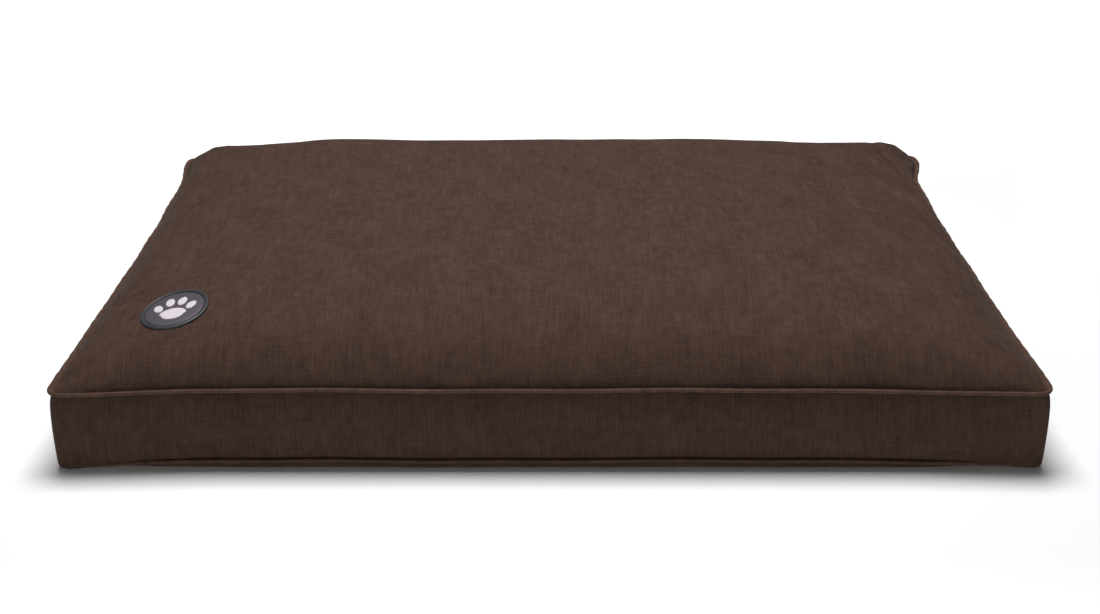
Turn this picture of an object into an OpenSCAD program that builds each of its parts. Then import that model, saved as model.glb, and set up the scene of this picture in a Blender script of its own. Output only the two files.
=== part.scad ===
// Boxed pet cushion bed: a removable piped cover with a zipped back band,
// round a lined pad of foam and fibre wadding.
// The floor is z = 0, X runs along the long side and -Y is the front.

/* [Bed] */
// Width over the piping
overall_w = 910; // [700:10:1200]
// Depth over the piping
overall_d = 610; // [460:10:800]
// Height of the side band, from seam to seam
band_h = 72; // [60:1:110]
// Rise of the crowned top panel above its seam
crown_h = 56; // [30:1:80]
// Drop of the base panel below its seam
belly_h = 12; // [8:1:20]
// Radius of the upright corners
corner_r = 16; // [12:1:40]

/* [Cover] */
// Thickness of the cover cloth
cloth_t = 0.8; // [0.6:0.1:1.2]
// Outside diameter of the piping
piping_d = 5; // [4:0.5:7]
// Diameter of the cord inside the piping
piping_cord_d = 3.2; // [2.4:0.2:3.2]
// Width of the sewn allowance inside each seam
allowance = 10; // [6:1:14]

/* [Zip] */
// Length of the zip tape
tape_l = 800; // [560:10:800]
// Height of the open slot between the two back bands
slot_h = 10; // [10:1:14]

/* [Badge] */
// Radius of the round patch
badge_r = 32; // [25:1:40]
// Distance of its centre from the left seam
badge_in_x = 98; // [60:1:150]
// Distance of its centre from the front seam
badge_in_y = 80; // [60:1:200]

/* [Pad] */
// Thickness of the foam slab
foam_t = 50; // [30:5:50]
// Thickness of the liner cloth
liner_t = 0.4; // [0.3:0.1:0.6]

/* [Hidden] */
$fn = 48;

BROWN = "#50403a";
DARK_BROWN = "#3c2d27";
WHITE = "#e9e6e0";

cover_w = overall_w - 2 * piping_d;
cover_d = overall_d - 2 * piping_d;
low_seam = belly_h;
top_seam = belly_h + band_h;
mid_z = (low_seam + top_seam) / 2;
overall_h = top_seam + crown_h;
back_y = cover_d / 2;

// Layers of a seam, counted inwards from the band's outer face
flange_t = 1;                       // the piping's folded tail
flange_in = cloth_t;
skirt_in = cloth_t + flange_t;      // the panel's turned allowance
seam_in = skirt_in + cloth_t;

// Crown of the panels: a steep rounded edge, then a slow rise to the level middle
crown_run = 230;                    // from the seam to the level middle
crown_edge = 34;                    // width of the steep edge
crown_edge_share = 0.68;            // the part of the rise that the edge makes
crown_lip = 1.5;                    // upright edge at the seam
crown_steps = 14;
belly_run = 70;                     // width of the base panel's rounded rim

// Zip
hem_in = 2 * cloth_t;               // the band's folded edge; the tape lies behind it
hem_h = 10;
tape_t = 0.6;
tape_gap = 0.8;                     // tape edge from the zip's middle
tape_h = 15.2;
coil_h = 2.8;
coil_t = 2;
coil_gap = 0.4;                     // coil edge from the zip's middle
coil_l = tape_l - 42;
stop_t = 2.3;
slider_l = 13;
slider_w = 9.2;
plate_t = 1;
slider_gap = 0.2;                   // running clearance round the coil and tape
closed_x = -coil_l / 2 + slider_l / 2 + 1.5;
pull_l = 27;
pull_w = 6;
pull_t = 1.2;
pull_out = 2.5;                     // the pull's pivot outside the band's face

// Badge layers, counted outwards from the top panel
badge_base_t = 1.2;
badge_field_t = 0.5;
badge_rim_t = 1.2;
badge_paw_t = 0.9;
badge_rim_w = 3.4;
badge_groove_w = 1.6;
badge_stitches_n = 48;
paw_scale = 1.3;

// Care label, hanging from the top piping at the back
label_w = 24;
label_h = 36;
label_t = 0.4;
label_drop = 1.4;                   // its top edge below the seam

// Pad
liner_in = 4;
foam_in = 6;
foam_low = mid_z + 3 - foam_t / 2;
liner_lap = 8;

// ---- shared shapes ----

module rounded_rect(w, d, r) {
    square([w - 2 * r, d], center = true);
    square([w, d - 2 * r], center = true);
    for (x = [-1, 1], y = [-1, 1])
        translate([x * (w / 2 - r), y * (d / 2 - r)]) circle(r);
}

// The cover's outline at its seams, inset by a distance
module footprint(inset) {
    rounded_rect(cover_w - 2 * inset, cover_d - 2 * inset, corner_r - inset);
}

module block(inset, z0, z1) {
    translate([0, 0, z0]) linear_extrude(z1 - z0) footprint(inset);
}

module ring(inset_out, inset_in, z0, z1) {
    translate([0, 0, z0]) linear_extrude(z1 - z0) difference() {
        footprint(inset_out);
        footprint(inset_in);
    }
}

// Share of the crown's rise at a distance u from the seam, over its run
function crown_rise(u, run) =
    let (edge = run * crown_edge / crown_run, e = 1 - min(u / edge, 1), s = 1 - u / run)
    crown_edge_share * sqrt(1 - e * e) + (1 - crown_edge_share) * (1 - s * s);

// Section of a crown: an upright lip, the rounded edge and the slow rise, on both sides
function crown_section(span, rise, run) =
    let (near = [for (i = [0:crown_steps]) let (u = run * pow(i / crown_steps, 2.5))
                 [u - span / 2, crown_lip + (rise - crown_lip) * crown_rise(u, run)]])
    concat([[-span / 2, 0]], near,
           [for (i = [crown_steps:-1:0]) [-near[i][0], near[i][1]]], [[span / 2, 0]]);

module crown(inset, rise, run) {
    w = cover_w - 2 * inset;
    d = cover_d - 2 * inset;
    intersection() {
        linear_extrude(rise + 5) footprint(inset);
        rotate([90, 0, 0]) linear_extrude(overall_d, center = true)
            polygon(crown_section(w, rise, run - inset));
        rotate([90, 0, 90]) linear_extrude(overall_w, center = true)
            polygon(crown_section(d, rise, run - inset));
    }
}

module top_crown(inset, rise) {
    crown(inset, rise, crown_run);
}

module base_crown(inset, rise) {
    mirror([0, 0, 1]) crown(inset, rise, belly_run);
}

// Sweeps a section once round the cover. The section's x runs outwards from the band's
// outer face, and its y runs up.
module sweep_round() {
    for (side = [-1, 1]) {
        translate([0, side * cover_d / 2, 0]) mirror([0, side < 0 ? 1 : 0, 0])
            rotate([90, 0, 90]) linear_extrude(cover_w - 2 * corner_r, center = true) children();
        translate([side * cover_w / 2, 0, 0]) mirror([side < 0 ? 1 : 0, 0, 0])
            rotate([90, 0, 0]) linear_extrude(cover_d - 2 * corner_r, center = true) children();
    }
    for (x = [-1, 1], y = [-1, 1])
        translate([x * (cover_w / 2 - corner_r), y * (cover_d / 2 - corner_r), 0])
            rotate([0, 0, x > 0 ? (y > 0 ? 0 : -90) : (y > 0 ? 90 : 180)])
                rotate_extrude(angle = 90) translate([corner_r, 0]) children();
}

// ---- cover panels and bands ----

module top_panel() {
    edge = top_seam + flange_t / 2;
    color(BROWN) {
        translate([0, 0, edge]) difference() {
            top_crown(0, overall_h - edge);
            top_crown(cloth_t, overall_h - edge - cloth_t);
        }
        ring(0, seam_in, edge, edge + cloth_t);
        ring(skirt_in, seam_in, top_seam - allowance, edge);
    }
}

module base_panel() {
    edge = low_seam - flange_t / 2;
    color(BROWN) {
        translate([0, 0, edge]) difference() {
            base_crown(0, edge);
            base_crown(cloth_t, edge - cloth_t);
        }
        ring(0, seam_in, edge - cloth_t, edge);
        ring(skirt_in, seam_in, edge, low_seam + allowance);
    }
}

// One strip round the front, the sides and both back corners, its ends folded inwards
module wrap_band() {
    low = low_seam + flange_t / 2;
    high = top_seam - flange_t / 2;
    color(BROWN) {
        difference() {
            ring(0, cloth_t, low, high);
            translate([-tape_l / 2, 0, low - 1]) cube([tape_l, overall_d, high - low + 2]);
        }
        for (side = [0, 1]) mirror([side, 0, 0])
            translate([tape_l / 2, back_y - 2 * cloth_t, low_seam + allowance])
                cube([allowance, cloth_t, band_h - 2 * allowance]);
    }
}

// A strip between a seam and the zip, its edge by the zip folded inwards
module zip_band(high, low, hem_low) {
    translate([-tape_l / 2, back_y - cloth_t, low]) cube([tape_l, cloth_t, high - low]);
    translate([-tape_l / 2, back_y - hem_in, hem_low]) cube([tape_l, cloth_t, hem_h]);
}

module zip_band_upper() {
    low = mid_z + slot_h / 2;
    color(BROWN) zip_band(top_seam - flange_t / 2, low, low);
}

module zip_band_lower() {
    high = mid_z - slot_h / 2;
    color(BROWN) zip_band(high, low_seam + flange_t / 2, high - hem_h);
}

// ---- piping ----

// A tube at the seam with its tail sewn between the band and the panel
module piping_cover() {
    sweep_round() {
        translate([piping_d / 2, 0]) difference() {
            circle(d = piping_d);
            circle(d = piping_cord_d + 0.2);
        }
        translate([-skirt_in, -flange_t / 2]) square([skirt_in + cloth_t / 2, flange_t]);
        translate([-skirt_in, -allowance]) square([flange_t, allowance + flange_t / 2]);
    }
}

module piping_cord() {
    sweep_round() translate([piping_d / 2, 0]) circle(d = piping_cord_d);
}

module top_piping_cover() {
    color(BROWN) translate([0, 0, top_seam]) piping_cover();
}

module top_piping_cord() {
    color(WHITE) translate([0, 0, top_seam]) piping_cord();
}

module base_piping_cover() {
    color(BROWN) translate([0, 0, low_seam]) mirror([0, 0, 1]) piping_cover();
}

module base_piping_cord() {
    color(WHITE) translate([0, 0, low_seam]) piping_cord();
}

// ---- zip ----

// The zip's upper half is drawn, and its lower half is that half's mirror image
module lower_half() {
    translate([0, 0, mid_z]) mirror([0, 0, 1]) translate([0, 0, -mid_z]) children();
}

module zip_tape() {
    color(DARK_BROWN) translate([-tape_l / 2, back_y - hem_in - tape_t, mid_z + tape_gap])
        cube([tape_l, tape_t, tape_h]);
}

module zip_coil() {
    r = coil_t / 2;
    color(DARK_BROWN) translate([0, back_y - hem_in + r, mid_z + coil_gap])
        rotate([90, 0, 90]) linear_extrude(coil_l, center = true) {
            translate([0, r]) circle(r);
            translate([0, coil_h - r]) circle(r);
            translate([-r, r]) square([coil_t, coil_h - 2 * r]);
        }
}

module zip_tape_upper() { zip_tape(); }

module zip_tape_lower() { lower_half() zip_tape(); }

module zip_coil_upper() { zip_coil(); }

module zip_coil_lower() { lower_half() zip_coil(); }

module zip_top_stop() {
    color("dimgray") translate([-coil_l / 2 - 3, back_y - hem_in, mid_z + tape_gap])
        cube([3, stop_t, coil_h]);
}

module zip_top_stops() {
    zip_top_stop();
    lower_half() zip_top_stop();
}

module zip_bottom_stop() {
    color("dimgray") translate([coil_l / 2, back_y - hem_in, mid_z - tape_gap - coil_h])
        cube([4, stop_t, 2 * (tape_gap + coil_h)]);
}

// Two plates, the web that joins them between the coils, and the bail that holds the pull
module zip_slider() {
    coil_out = back_y - hem_in + coil_t;
    front = coil_out + slider_gap;
    tape_back = back_y - hem_in - tape_t;
    bail_y = back_y + pull_out + pull_t / 2 + 0.3;
    color("dimgray") translate([closed_x, 0, mid_z]) {
        for (y = [front + plate_t, tape_back - slider_gap])
            translate([0, y, 0]) rotate([90, 0, 0])
                linear_extrude(plate_t) rounded_rect(slider_l, slider_w, 2.5);
        translate([-5, tape_back - slider_gap - 0.1, -0.25])
            cube([3, front - tape_back + slider_gap + 0.2, 0.5]);
        for (side = [0, 1]) mirror([0, 0, side])
            translate([-3.5, back_y - hem_in + 0.4, slider_w / 2 - 0.6])
                cube([7, front - back_y + hem_in - 0.3, 0.6]);
        for (x = [-3.8, 2.6]) translate([x, front + plate_t - 0.1, -0.9])
            cube([1.2, bail_y - front - plate_t + 0.2, 1.8]);
        translate([-3.8, bail_y, -0.9]) cube([7.6, 0.8, 1.8]);
    }
}

// A tab on two arms, turning on a bar under the slider's bail
module zip_pull() {
    bar_r = pull_t / 2;
    arm_x = 6;
    color("dimgray") translate([closed_x, back_y + pull_out, mid_z]) {
        cylinder(r = bar_r, h = 5.2, center = true);
        for (side = [0, 1]) mirror([0, 0, side]) translate([0, -bar_r, 1.4])
            cube([arm_x, pull_t, 1.2]);
        translate([0, bar_r, 0]) rotate([90, 0, 0]) linear_extrude(pull_t) difference() {
            union() {
                translate([arm_x - 1, -pull_w / 2]) square([pull_l - arm_x + 1, pull_w]);
                translate([pull_l, 0]) circle(d = pull_w);
            }
            translate([pull_l, 0]) circle(1.5);
        }
    }
}

// ---- badge ----

// A layer of the badge: its outline cut from a skin that follows the top panel
module badge_layer(from, to) {
    edge = top_seam + flange_t / 2;
    rise = overall_h - edge;
    intersection() {
        translate([badge_in_x - cover_w / 2, badge_in_y - cover_d / 2, edge])
            linear_extrude(rise + 10) children();
        translate([0, 0, edge]) rotate([90, 0, 0])
            linear_extrude(overall_d, center = true) difference() {
                polygon(crown_section(cover_w + 2 * to, rise + to, crown_run + to));
                polygon(crown_section(cover_w + 2 * from, rise + from, crown_run + from));
            }
    }
}

module badge_patch() {
    color("#45454b") {
        badge_layer(0, badge_base_t) circle(badge_r);
        badge_layer(badge_base_t, badge_base_t + badge_rim_t) difference() {
            circle(badge_r);
            circle(badge_r - badge_rim_w);
        }
    }
}

module badge_field() {
    color("#5b5560") badge_layer(badge_base_t, badge_base_t + badge_field_t)
        circle(badge_r - badge_rim_w - badge_groove_w);
}

// A slot shape for a toe pad, leaning by an angle
module toe(x, y, lean) {
    translate([x, y]) rotate(lean) {
        circle(2.9);
        translate([0, 3]) circle(2.6);
        translate([-2.6, 0]) square([5.2, 3]);
    }
}

module paw() {
    translate([0, -6.5]) circle(6.4);
    for (side = [-1, 1]) {
        translate([side * 5.6, -9.2]) circle(4.6);
        toe(side * 11, -0.5, side * -22);
        toe(side * 4.3, 6.2, side * -6);
    }
}

module badge_paw() {
    low = badge_base_t + badge_field_t;
    color("#d8d0d4") badge_layer(low, low + badge_paw_t) scale(paw_scale) paw();
}

module badge_stitches() {
    r = badge_r - badge_rim_w - badge_groove_w / 2;
    color("#26262b") badge_layer(badge_base_t, badge_base_t + 0.4)
        for (i = [0:badge_stitches_n - 1]) rotate(i * 360 / badge_stitches_n)
            translate([r, 0]) square([0.8, 2.6], center = true);
}

module care_label() {
    color(WHITE) translate([tape_l / 2 + 6, back_y, top_seam - label_drop - label_h])
        cube([label_w, label_t, label_h]);
}

// ---- pad ----

// The pad's outer shape, inset all round and held a distance below the crowns
module pad_shape(inset, drop) {
    block(inset, low_seam, top_seam);
    translate([0, 0, top_seam]) top_crown(inset, crown_h - drop);
    translate([0, 0, low_seam]) base_crown(inset, belly_h - drop);
}

module slab(z0, z1) {
    translate([-overall_w / 2, -overall_d / 2, z0]) cube([overall_w, overall_d, z1 - z0]);
}

module liner_shell() {
    difference() {
        pad_shape(liner_in, 1.6);
        pad_shape(liner_in + liner_t, 1.6 + liner_t);
    }
}

module liner_top() {
    color(WHITE) {
        intersection() {
            liner_shell();
            slab(mid_z, overall_h);
        }
        ring(liner_in + liner_t, liner_in + 2 * liner_t, mid_z - liner_lap, mid_z + 2);
    }
}

module liner_base() {
    color(WHITE) intersection() {
        liner_shell();
        slab(0, mid_z);
    }
}

module foam_core() {
    color("#e3d9a5") block(foam_in, foam_low, foam_low + foam_t);
}

module top_wadding() {
    color("white") intersection() {
        pad_shape(foam_in, 3);
        slab(foam_low + foam_t, overall_h);
    }
}

module base_wadding() {
    color("white") intersection() {
        pad_shape(foam_in, 3);
        slab(0, foam_low);
    }
}

top_panel();
base_panel();
wrap_band();
zip_band_upper();
zip_band_lower();
top_piping_cover();
top_piping_cord();
base_piping_cover();
base_piping_cord();
zip_tape_upper();
zip_tape_lower();
zip_coil_upper();
zip_coil_lower();
zip_top_stops();
zip_bottom_stop();
zip_slider();
zip_pull();
badge_patch();
badge_field();
badge_paw();
badge_stitches();
care_label();
liner_top();
liner_base();
foam_core();
top_wadding();
base_wadding();
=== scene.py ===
import math

import bmesh
import bpy
import numpy as np
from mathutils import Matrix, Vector


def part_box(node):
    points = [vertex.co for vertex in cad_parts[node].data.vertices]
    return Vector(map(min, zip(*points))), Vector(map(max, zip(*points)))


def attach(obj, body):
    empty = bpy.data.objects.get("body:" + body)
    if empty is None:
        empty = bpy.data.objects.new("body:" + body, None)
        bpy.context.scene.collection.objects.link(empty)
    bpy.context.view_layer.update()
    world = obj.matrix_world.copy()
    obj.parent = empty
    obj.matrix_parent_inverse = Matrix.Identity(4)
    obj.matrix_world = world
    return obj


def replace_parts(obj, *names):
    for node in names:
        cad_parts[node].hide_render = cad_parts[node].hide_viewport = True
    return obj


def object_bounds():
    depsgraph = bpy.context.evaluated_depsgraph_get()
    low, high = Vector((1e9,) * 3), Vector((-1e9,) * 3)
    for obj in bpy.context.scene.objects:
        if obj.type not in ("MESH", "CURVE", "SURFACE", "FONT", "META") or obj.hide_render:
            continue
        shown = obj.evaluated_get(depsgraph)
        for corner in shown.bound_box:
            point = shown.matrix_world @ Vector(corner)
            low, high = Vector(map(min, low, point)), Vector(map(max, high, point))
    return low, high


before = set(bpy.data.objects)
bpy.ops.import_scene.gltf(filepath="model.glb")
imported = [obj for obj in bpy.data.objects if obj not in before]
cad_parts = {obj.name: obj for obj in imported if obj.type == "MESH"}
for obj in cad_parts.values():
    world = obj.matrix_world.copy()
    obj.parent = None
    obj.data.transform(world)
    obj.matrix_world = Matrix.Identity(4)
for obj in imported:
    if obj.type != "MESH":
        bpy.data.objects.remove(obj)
cad_box = [list(corner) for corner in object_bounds()]
MM = 0.001


# ---- Camera ----
# It stands in front of the middle of the bed's long side, above it, and looks down across
# the bed towards the back.

bed_low, bed_high = (np.array(corner) for corner in cad_box)
camera_data = bpy.data.cameras.new("camera")
camera_data.lens = 52.6
camera_data.sensor_width = 36
camera = bpy.data.objects.new("camera", camera_data)
bpy.context.scene.collection.objects.link(camera)
camera.location = (0, bed_low[1] - 1.275, bed_low[2] + 0.776)
camera.rotation_euler = (math.radians(90 - 25.4), 0, 0)
bpy.context.scene.camera = camera


# ---- Cover, as the pad fills it out ----
# The cover is a flat top and base panel sewn to an upright band, with piping in both seams.
# The pad crowns the top with a steep rounded edge, the seams pull in between the corners,
# and folds run along the short sides. This section works out where the cloth lies.

band_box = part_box("wrap_band")
top_piping_box, base_piping_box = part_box("top_piping_cover"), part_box("base_piping_cover")
piping_d = top_piping_box[1].x - band_box[1].x
cover_half = np.array([band_box[1].x, band_box[1].y])
floor_z = bed_low[2]
top_seam = top_piping_box[1].z - piping_d / 2
base_seam = base_piping_box[0].z + piping_d / 2
crown = bed_high[2] - top_seam - 3 * MM

edge_side, edge_front, edge_back = 72 * MM, 52 * MM, 41 * MM    # widths of its steep edges
edge_share = 0.70               # the part of the crown's rise that the edge makes
crown_run = 230 * MM            # from the seam to the level middle
belly_w = 14 * MM               # width of the base panel's rounded rim
belly_out = 4.0 * MM            # how far that rim stands out below the base seam
corner_top, corner_base = 9 * MM, 10 * MM
groove = 1.8 * MM               # how far the seams lie in behind the piping
tuck = 3.0 * MM                 # how far the base seam is drawn under at the corners
edge_cell, middle_cell = 5.2 * MM, 10.5 * MM
levels = np.array([0, .035, .075, .12, .18, .26, .36, .46, .56, .66, .76, .85, .92, .965, 1])
band_rows = len(levels) - 1


def ease(t):
    t = np.clip(t, 0, 1)
    return t * t * (3 - 2 * t)


def crown_share(u, edge_w):
    """The share of the crown's rise that is reached at a distance u from the seam."""
    edge = 1 - (1 - np.clip(u / edge_w, 0, 1)) ** 3
    slow = 1 - (1 - np.clip(u / crown_run, 0, 1)) ** 2
    return edge_share * edge + (1 - edge_share) * slow


def grid_lines(half):
    """Lines from -half to half, close together where the crown is steep."""
    u = np.linspace(0, half, 4000)
    slope = np.clip(np.gradient(crown * crown_share(u, edge_back), u), 0, 8)
    cell = edge_cell + (middle_cell - edge_cell) * ease((u - 60 * MM) / (60 * MM))
    count = np.cumsum(np.sqrt(1 + slope ** 2) / cell) * (u[1] - u[0])
    near = np.interp(np.linspace(count[0], count[-1], round(count[-1]) + 1), count, u) - half
    return np.concatenate([near, -near[-2::-1]])


def rounded(x, y, radius):
    """Rounds the corners of the plan: a square in each corner becomes a quarter disc."""
    sx = np.clip((np.abs(x) - cover_half[0] + radius) / radius, 0, 1)
    sy = np.clip((np.abs(y) - cover_half[1] + radius) / radius, 0, 1)
    both = (sx > 0) & (sy > 0)
    round_x = cover_half[0] - radius + radius * sx * np.sqrt(1 - sy ** 2 / 2)
    round_y = cover_half[1] - radius + radius * sy * np.sqrt(1 - sx ** 2 / 2)
    return (np.sign(x) * np.where(both, round_x, np.abs(x)),
            np.sign(y) * np.where(both, round_y, np.abs(y)))


def corner_reach(x, y, reach):
    """1 at the corners of the plan, fading along the seams over a reach."""
    far = np.maximum(cover_half[0] - np.abs(x), cover_half[1] - np.abs(y))
    return np.exp(-(far / reach) ** 2)


def drawn_in(x, y, level):
    """Pulls the sides in between the corners. level is 0 at the base seam, 1 at the top."""
    from_side = cover_half[0] - np.abs(x)
    from_front, from_back = y + cover_half[1], cover_half[1] - y
    # the short sides pull in most towards the back, where the corners stand out as ears
    start = ease(from_front / (420 * MM))
    side = start * ease((from_back - 14 * MM) / (62 * MM))
    side = side + np.where(x < 0, 0.4, 0) * (start - side)
    wave = 0.6 * MM * np.sin(y * 61 + np.where(x > 0, 0.4, 2.0)) * ease(from_back / 0.1) * start
    pull_side = (11.6 * MM * side + wave) * (0.35 + 0.65 * level)
    pull_front = 5 * MM * ease((from_side - 8 * MM) / (150 * MM)) * (0.5 + 0.5 * level)
    pull_back = 3 * MM * ease((from_side - 8 * MM) / (110 * MM)) * abs(2 * level - 1)
    # inside the panels the pull fades with the distance from the seam
    to_end = np.clip(np.where(y < 0, from_front, from_back), 0, None)
    fade_x, fade_y = (np.exp(-np.clip(d, 0, None) / (90 * MM)) for d in (from_side, to_end))
    # at the corners the base seam is drawn in underneath the band
    under = tuck * corner_reach(x, y, 62 * MM) * (1 - ease(level / 0.10))
    under_x, under_y = (under * np.exp(-np.clip(d, 0, None) / (30 * MM))
                        for d in (from_side, to_end))
    # the front corners stand out a little, as the pad fills them
    ear = corner_reach(x, y, 65 * MM) * (y < 0) * (1 - 0.4 * level ** 12)
    return (x - np.sign(x) * (pull_side * fade_x + under_x - 6.6 * MM * ear),
            y + np.where(y < 0, pull_front, -pull_back) * fade_y - np.sign(y) * under_y
            - 1.2 * MM * ear)


# Folds of the top panel: both ends in the plan, then width, height and bow, all in mm
FOLDS = [
    ((402, 268), (438, 112), 6, 4.2, 6),
    ((376, 196), (440, 58), 6, 3.4, 8),
    ((364, 118), (440, -30), 7, 4.4, 9),
    ((350, 20), (440, -104), 7, 3.2, 8),
    ((396, -76), (444, -160), 7, 2.6, 4),
    ((-438, 150), (-392, 262), 7, 3.4, -6),
    ((-440, 60), (-412, 168), 7, 2.6, -4),
    ((-447, -276), (-380, -240), 8, 2.6, -5),
    ((-446, -215), (-400, -205), 7, 1.4, -3),
    ((446, -272), (400, -246), 7, 2.0, 4),
    ((449, -236), (415, -228), 6, 1.2, 2),
]


def fold_height(x, y):
    """A fold is a narrow ridge with a hollow beside it, and it dies out at both ends."""
    total = np.zeros_like(x)
    for start, end, width, height, bow in FOLDS:
        a, b = np.array(start) * MM, np.array(end) * MM
        length = np.hypot(*(b - a))
        way = (b - a) / length
        t = ((x - a[0]) * way[0] + (y - a[1]) * way[1]) / length
        across = (y - a[1]) * way[0] - (x - a[0]) * way[1]
        q = (across - 4 * bow * MM * t * (1 - t)) / (width * MM)
        ridge = np.exp(-q ** 2) - 0.75 * np.exp(-((q + 1.5) / 0.9) ** 2)
        total += height * MM * ridge * ease((t + 0.12) / 0.35) * ease((1.06 - t) / 0.22)
    return total


chance = np.random.RandomState(7)


def swells(x, y, length, count=14):
    """A soft random unevenness about 1 high, with swells roughly that long."""
    total = np.zeros_like(x)
    for _ in range(count):
        turn, phase = chance.uniform(0, 2 * math.pi, 2)
        k = 2 * math.pi / (length * chance.uniform(0.75, 1.5))
        total += np.sin(k * (x * math.cos(turn) + y * math.sin(turn)) + phase)
    return total / math.sqrt(count)


def gathers(x, y, pitch):
    """Waves along the seams, where the panel was eased on to the band at the corners."""
    along = np.where(cover_half[0] - np.abs(x) < cover_half[1] - np.abs(y), y, x)
    wander = 0.9 * np.sin(along * 37 + 1) + 0.5 * np.sin(along * 83)
    return np.sin(along * 2 * math.pi / pitch + wander)


def seam_z(x, y, level):
    """Height between the seams. The base seam drops at every corner. The top seam drops a
    little at the front corners and stands up at the back ones. Both waver."""
    low = base_seam - 1.7 * MM - 3.4 * MM * corner_reach(x, y, 75 * MM)
    high = top_seam - 2.2 * MM - 0.9 * MM * corner_reach(x, y, 120 * MM) * (y < 0)
    high = high + np.where(x < 0, 3.5, 6) * MM * corner_reach(x, y, 60 * MM) * (y > 0)
    waver = 0.5 * MM * np.sin(x * 17 + y * 23) + 0.35 * MM * np.sin(x * 41 - y * 29 + 1)
    return low + (high - low) * level + waver


def laid(x, y, level, radius, z):
    return np.stack([*drawn_in(*rounded(x, y, radius), level), z], axis=1)


lines_x, lines_y = grid_lines(cover_half[0]), grid_lines(cover_half[1])
nx, ny = len(lines_x) - 1, len(lines_y) - 1
grid_x, grid_y = (g.ravel() for g in np.meshgrid(lines_x, lines_y))
from_x, from_y = cover_half[0] - np.abs(grid_x), cover_half[1] - np.abs(grid_y)
from_seam = np.minimum(from_x, from_y)

# The seam, as places in the grid, anticlockwise from the front left corner
rim = np.array([i for i in range(nx)] + [nx + j * (nx + 1) for j in range(ny)]
               + [ny * (nx + 1) + nx - i for i in range(nx)]
               + [(ny - j) * (nx + 1) for j in range(ny)])
rim_x, rim_y = grid_x[rim], grid_y[rim]
n_grid, n_rim = len(grid_x), len(rim)

relief = (swells(grid_x, grid_y, 160 * MM) * 1.1 * MM
          + swells(grid_x, grid_y, 70 * MM) * 0.35 * MM) * ease(from_seam / (25 * MM))
relief += (gathers(grid_x, grid_y, 21 * MM) * corner_reach(grid_x, grid_y, 120 * MM) * 0.7 * MM
           * ease(from_seam / (5 * MM)) * np.exp(-from_seam / (16 * MM)))
# the pad fills the corners a little less than the middle, the back left one least
slack = np.where(grid_y < 0, 0.05, np.where(grid_x < 0, 0.12, 0.02))
slack = slack * np.exp(-(np.hypot(from_x, from_y) / (85 * MM)) ** 2)
edge_x = edge_side * (1 - 0.27 * (grid_y > 0) * np.exp(-(from_y / (150 * MM)) ** 2))
edge_y = np.where(grid_y < 0, edge_front, edge_back)
rise = crown_share(from_x, edge_x) * crown_share(from_y, edge_y) * (1 - slack)
rise = (crown + 2.2 * MM) * rise
top = laid(grid_x, grid_y, 1, corner_top, seam_z(grid_x, grid_y, 1) + rise + relief)

# the base panel rolls out below its seam and under, on to the floor
roll_x, roll_y = (np.pi * np.clip(u / belly_w, 0, 1) for u in (from_x, from_y))
down = (1 - np.cos(roll_x)) * (1 - np.cos(roll_y)) / 4
down = 0.62 * down + 0.38 * ease(from_x / (50 * MM)) * ease(from_y / (50 * MM))
base = laid(grid_x, grid_y, 0, corner_base, floor_z + seam_z(grid_x, grid_y, 0) * (1 - down))
for axis, u, roll in ((0, from_x, roll_x), (1, from_y, roll_y)):
    out = np.minimum(u, belly_w * np.exp(-np.clip(u - belly_w, 0, None) / (60 * MM)))
    out += belly_out * np.sin(roll)
    base[:, axis] += np.sign(base[:, axis]) * out * (
        1 - 0.8 * corner_reach(grid_x, grid_y, 80 * MM))


def outwards(ring):
    """The level direction out of the bed at each point of a ring round it."""
    along = np.roll(ring, -1, axis=0) - np.roll(ring, 1, axis=0)
    out = np.stack([along[:, 1], -along[:, 0], 0 * along[:, 0]], axis=1)
    return out / np.linalg.norm(out, axis=1)[:, None]


zip_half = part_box("zip_tape_upper")[1].x
on_back = rim_y > cover_half[1] - 1e-6
on_zip = on_back * ease((zip_half + 20 * MM - np.abs(rim_x)) / (20 * MM))
by_zip = on_back * ease((zip_half + 42 * MM - np.abs(rim_x)) / (36 * MM))


def band_ring(row):
    """A ring of the band. It bellies out a little between its seams, is drawn in under the top
    piping, hangs down low at the corners, and lies straighter where the zip stiffens it."""
    level = levels[row]
    radius = corner_top + (corner_base - corner_top) * (1 - level) ** 8
    sag = 9.5 * MM * corner_reach(rim_x, rim_y, 66 * MM) * (1 - by_zip) * (
        level / 0.09 * math.exp(1 - level / 0.09))
    ring = laid(rim_x, rim_y, level, radius, seam_z(rim_x, rim_y, level) - sag)
    swell = 4.2 * MM * math.sin(math.pi * level) ** 0.7 * (
        1 - 0.7 * corner_reach(rim_x, rim_y, 50 * MM)) * (1 - on_zip)
    pucker = 0.9 * MM * gathers(rim_x, rim_y, 26 * MM) * corner_reach(rim_x, rim_y, 130 * MM) * (
        math.sin(math.pi * level) * math.exp(-(1 - level) * 4) * 2)
    dip = 1.6 * MM * math.exp((level - 1) / 0.08)
    return ring + outwards(ring) * (swell + pucker - dip)[:, None]


band = [band_ring(row) for row in range(1, band_rows)]
top[rim] -= outwards(top[rim]) * groove
base[rim] -= outwards(base[rim]) * groove
cover = np.concatenate([top, base] + band)


def band_row(row):
    """The points of one row of the band, from the base seam to the top seam."""
    if row == 0:
        return n_grid + rim
    if row == band_rows:
        return rim
    return 2 * n_grid + (row - 1) * n_rim + np.arange(n_rim)


def joined(index):
    """A grid of point numbers with its first column again after its last."""
    return np.concatenate([index, index[:, :1]], axis=1)


def quads(index):
    """Four-sided faces over a grid of point numbers."""
    corners = index[:-1, :-1], index[:-1, 1:], index[1:, 1:], index[1:, :-1]
    return np.stack(corners, axis=-1).reshape(-1, 4).tolist()


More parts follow.
